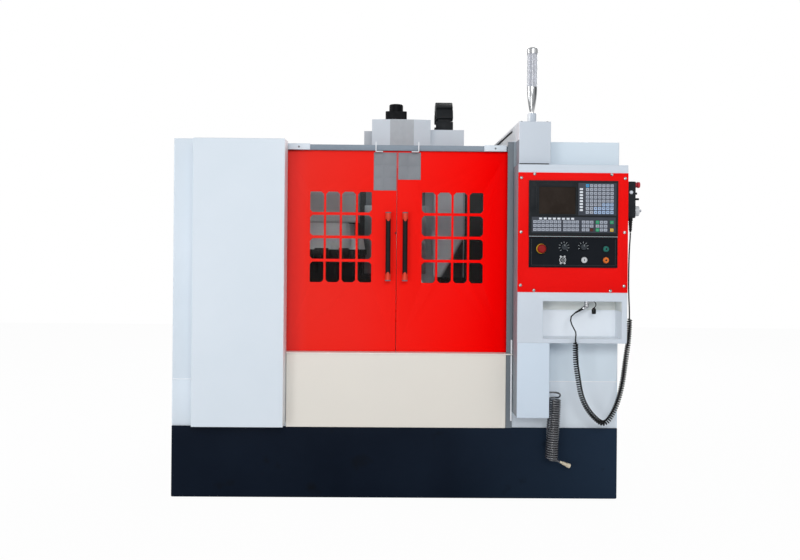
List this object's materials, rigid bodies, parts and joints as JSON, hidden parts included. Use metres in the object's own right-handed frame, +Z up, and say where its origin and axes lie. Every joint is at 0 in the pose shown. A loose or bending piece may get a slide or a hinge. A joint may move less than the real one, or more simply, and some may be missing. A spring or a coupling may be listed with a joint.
{
  "type": "cnc milling machine",
  "caption": "Vertical machining centre with sliding window doors, side control box with pendant, tool magazine, three-axis table and spindle head.",
  "frame": {"origin": "middle of the base's bottom face", "axes": "+Z up, +Y from the doors towards the back, +X to the right of a viewer at the doors"},
  "size_m": [2.182, 1.9775, 2.126],
  "materials": {
    "white_paint": "satin",
    "red_paint": "satin",
    "cream_paint": "satin",
    "navy_paint": "satin",
    "grey_paint": "satin",
    "black_plastic": "matte",
    "dark_plastic": "satin",
    "pale_keys": "matte",
    "screen_glass": "gloss",
    "window_glass": "clear",
    "lamp_clear": "clear",
    "chrome": "polished",
    "bright_steel": "brushed",
    "cast_grey": "painted",
    "red_plastic": "satin",
    "green_plastic": "satin",
    "orange_plastic": "satin",
    "cord_rubber": "matte",
    "hose_plastic": "gloss",
    "brass": "satin",
    "silver_plastic": "satin"
  },
  "bodies": {
    "machine": {"base_plinth": "navy_paint", "chip_pan": "white_paint", "left_side_panel": "white_paint", "right_side_panel": "white_paint", "rear_panels": "white_paint", "left_front_cover": "white_paint", "door_header": "grey_paint", "door_sill": "white_paint", "lower_front_panel": "cream_paint", "door_post": "grey_paint", "control_box": "white_paint", "control_panel": "red_paint", "cnc_unit": "dark_plastic", "cnc_screen": "screen_glass", "cnc_keypad": "pale_keys", "operator_panel": "dark_plastic", "cable_trunk": "white_paint", "lamp_metalwork": "chrome", "lamp_lens": "lamp_clear", "service_box": "white_paint", "air_hose_tails": "hose_plastic", "air_hose_coil": "hose_plastic", "air_coupler": "brass", "pendant_body": "black_plastic", "pendant_socket": "chrome", "pendant_plug": "chrome", "pendant_leads": "cord_rubber", "pendant_curl": "cord_rubber", "bed_casting": "cast_grey", "column_casting": "cast_grey", "z_motor": "black_plastic", "magazine_housing": "white_paint", "electrical_cabinet": "white_paint"},
    "left_door": {"left_door": "red_paint", "left_window": "window_glass", "left_grip": "black_plastic", "left_grip_ends": "orange_plastic"},
    "right_door": {"right_door": "red_paint", "right_window": "window_glass", "right_grip": "black_plastic", "right_grip_ends": "orange_plastic"},
    "saddle": {"saddle": "cast_grey", "y_way_cover": "bright_steel"},
    "table": {"table": "bright_steel"},
    "head": {"spindle_head": "cast_grey", "head_cover": "white_paint", "z_way_plate": "bright_steel"},
    "spindle": {"spindle": "bright_steel"},
    "chain": {"drag_chain": "black_plastic"},
    "magazine": {"magazine_carriage": "bright_steel"},
    "carousel": {"carousel": "white_paint"},
    "e_stop": {"e_stop_button": "red_plastic"},
    "start": {"start_button": "green_plastic"},
    "stop": {"stop_button": "orange_plastic"},
    "feed_knob": {"feed_knob": "black_plastic"},
    "spindle_knob": {"spindle_knob": "black_plastic"},
    "key": {"key_switch": "chrome"},
    "wheel": {"pendant_wheel": "silver_plastic"},
    "pendant_stop": {"pendant_stop": "red_plastic"},
    "cabinet_door": {"cabinet_door": "white_paint"}
  },
  "joints": [
    {"name": "left_door_slide", "type": "slide", "parent": "machine", "child": "left_door", "axis": [-1, 0, 0], "range_m": [0, 0.455]},
    {"name": "right_door_slide", "type": "slide", "parent": "machine", "child": "right_door", "axis": [1, 0, 0], "range_m": [0, 0.455]},
    {"name": "y_axis", "type": "slide", "parent": "machine", "child": "saddle", "axis": [0, 1, 0], "range_m": [-0.15, 0.15]},
    {"name": "x_axis", "type": "slide", "parent": "saddle", "child": "table", "axis": [1, 0, 0], "range_m": [-0.25, 0.25]},
    {"name": "z_axis", "type": "slide", "parent": "machine", "child": "head", "axis": [0, 0, 1], "range_m": [-0.4, 0]},
    {"name": "spindle_spin", "type": "hinge", "parent": "head", "child": "spindle", "pos_m": [0, -0.22, 1.4], "axis": [0, 0, 1], "continuous": true},
    {"name": "chain_follow", "type": "slide", "parent": "machine", "child": "chain", "axis": [0, 0, 1], "range_m": [-0.2, 0]},
    {"name": "magazine_slide", "type": "slide", "parent": "machine", "child": "magazine", "axis": [1, 0, 0], "range_m": [0, 0.188]},
    {"name": "carousel_index", "type": "hinge", "parent": "magazine", "child": "carousel", "pos_m": [-0.45, -0.22, 1.2], "axis": [0, 0, 1], "continuous": true},
    {"name": "e_stop_press", "type": "slide", "parent": "machine", "child": "e_stop", "axis": [0, 1, 0], "range_m": [0, 0.006]},
    {"name": "start_press", "type": "slide", "parent": "machine", "child": "start", "axis": [0, 1, 0], "range_m": [0, 0.004], "stiffness_N_per_m": 600},
    {"name": "stop_press", "type": "slide", "parent": "machine", "child": "stop", "axis": [0, 1, 0], "range_m": [0, 0.004], "stiffness_N_per_m": 600},
    {"name": "feed_turn", "type": "hinge", "parent": "machine", "child": "feed_knob", "pos_m": [0.76, -1.05, 1.187], "axis": [0, 1, 0], "range_deg": [-135, 135]},
    {"name": "spindle_turn", "type": "hinge", "parent": "machine", "child": "spindle_knob", "pos_m": [0.848, -1.05, 1.187], "axis": [0, 1, 0], "range_deg": [-135, 135]},
    {"name": "key_turn", "type": "hinge", "parent": "machine", "child": "key", "pos_m": [0.852, -1.05, 1.128], "axis": [0, 1, 0], "range_deg": [0, 90]},
    {"name": "wheel_spin", "type": "hinge", "parent": "machine", "child": "wheel", "pos_m": [1.12, -0.955, 1.357], "axis": [1, 0, 0], "continuous": true},
    {"name": "pendant_stop_press", "type": "slide", "parent": "machine", "child": "pendant_stop", "axis": [-1, 0, 0], "range_m": [0, 0.004]},
    {"name": "cabinet_door_swing", "type": "hinge", "parent": "machine", "child": "cabinet_door", "pos_m": [1.0473, 0.8675, 1.05], "axis": [0, 0, -1], "range_deg": [0, 110]}
  ],
  "couplings": [
    {"joint": "chain_follow", "follows": "z_axis", "ratio": 0.5}
  ]
}
